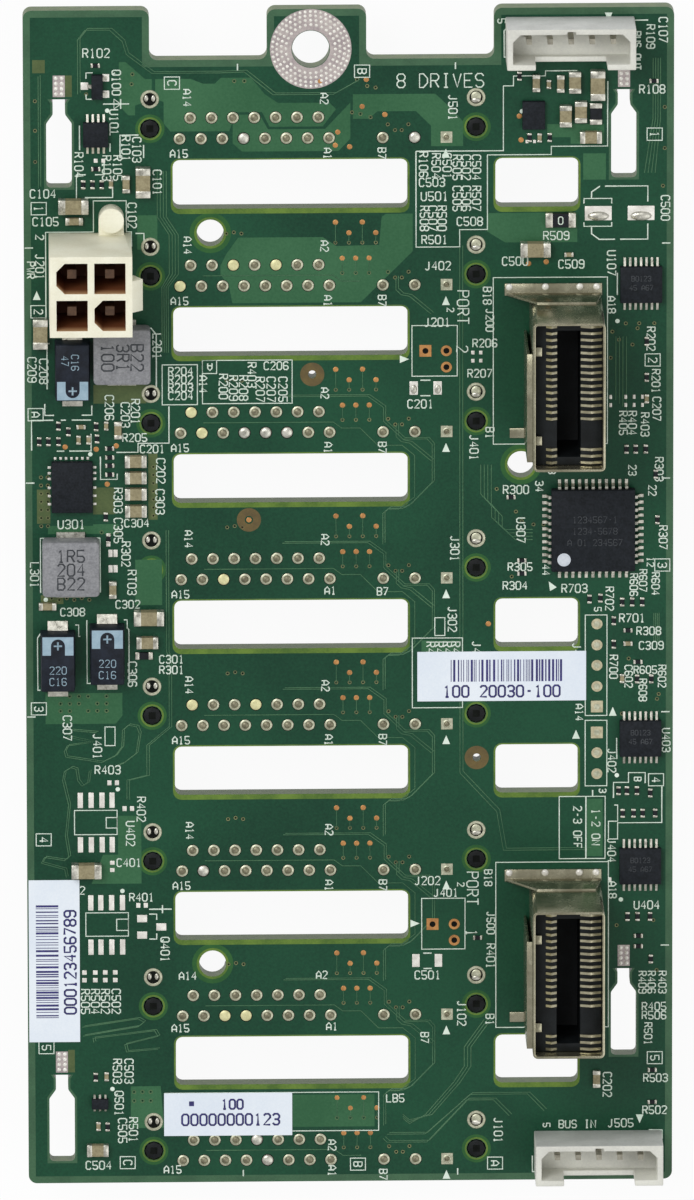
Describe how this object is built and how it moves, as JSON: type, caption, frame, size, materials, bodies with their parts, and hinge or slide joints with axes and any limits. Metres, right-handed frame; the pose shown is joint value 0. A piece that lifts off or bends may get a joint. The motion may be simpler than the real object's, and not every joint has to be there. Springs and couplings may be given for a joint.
{
  "type": "drive backplane board",
  "caption": "Circuit board with a column of drive receptacles on its back, and upright cable ports, a power header and air vents on its front.",
  "frame": {"origin": "below the centre of the board, on the plane of the receptacle tips", "axes": "+X across the board towards the cable ports, +Y along the column of drives towards the tab with the screw hole, +Z out of the front of the board"},
  "size_m": [0.0774, 0.1444, 0.0258],
  "materials": {
    "solder_mask": "green solder mask over glass laminate",
    "black_nylon": "moulded black nylon",
    "contact_metal": "plated contact",
    "tinned_metal": "dull tin plate",
    "bright_steel": "plated sheet steel",
    "cream_nylon": "cream nylon",
    "white_nylon": "white nylon",
    "chip_epoxy": "moulded epoxy",
    "coil_powder": "pressed metal powder, lacquered",
    "capacitor_epoxy": "dark blue moulded epoxy",
    "tan_ceramic": "fired ceramic, tinned ends",
    "resistor_glaze": "black glaze, tinned ends",
    "label_paper": "printed paper",
    "lamp_resin": "clear resin lamp"
  },
  "bodies": {
    "root": {"buffer_chip_1_body": "chip_epoxy", "buffer_chip_1_legs": "tinned_metal", "buffer_chip_2_body": "chip_epoxy", "buffer_chip_2_legs": "tinned_metal", "buffer_chip_3_body": "chip_epoxy", "buffer_chip_3_legs": "tinned_metal", "bus_header_in_body": "white_nylon", "bus_header_in_pins": "tinned_metal", "bus_header_out_body": "white_nylon", "bus_header_out_pins": "tinned_metal", "cable_port_a_cage": "bright_steel", "cable_port_a_contacts": "contact_metal", "cable_port_a_insert": "black_nylon", "cable_port_b_cage": "bright_steel", "cable_port_b_contacts": "contact_metal", "cable_port_b_insert": "black_nylon", "circuit_board": "solder_mask", "coil_bodies": "coil_powder", "coil_terminals": "tinned_metal", "controller_chip_body": "chip_epoxy", "controller_chip_legs": "tinned_metal", "drive_receptacle_1_contacts": "contact_metal", "drive_receptacle_1_housing": "black_nylon", "drive_receptacle_2_contacts": "contact_metal", "drive_receptacle_2_housing": "black_nylon", "drive_receptacle_3_contacts": "contact_metal", "drive_receptacle_3_housing": "black_nylon", "drive_receptacle_4_contacts": "contact_metal", "drive_receptacle_4_housing": "black_nylon", "drive_receptacle_5_contacts": "contact_metal", "drive_receptacle_5_housing": "black_nylon", "drive_receptacle_6_contacts": "contact_metal", "drive_receptacle_6_housing": "black_nylon", "drive_receptacle_7_contacts": "contact_metal", "drive_receptacle_7_housing": "black_nylon", "drive_receptacle_8_contacts": "contact_metal", "drive_receptacle_8_housing": "black_nylon", "flat_chip": "chip_epoxy", "large_ceramic_capacitors": "tan_ceramic", "large_resistors": "resistor_glaze", "left_label": "label_paper", "lower_label": "label_paper", "polymer_capacitor_bodies": "capacitor_epoxy", "polymer_capacitor_terminals": "tinned_metal", "power_header_body": "cream_nylon", "power_header_pins": "tinned_metal", "power_stage_chip": "chip_epoxy", "receptacle_board_locks": "tinned_metal", "small_ceramic_capacitors": "tan_ceramic", "small_chip_body": "chip_epoxy", "small_chip_legs": "tinned_metal", "small_resistors": "resistor_glaze", "status_lamps": "lamp_resin", "transistor_bodies": "chip_epoxy", "transistor_legs": "tinned_metal", "upper_label": "label_paper"}
  },
  "joints": []
}
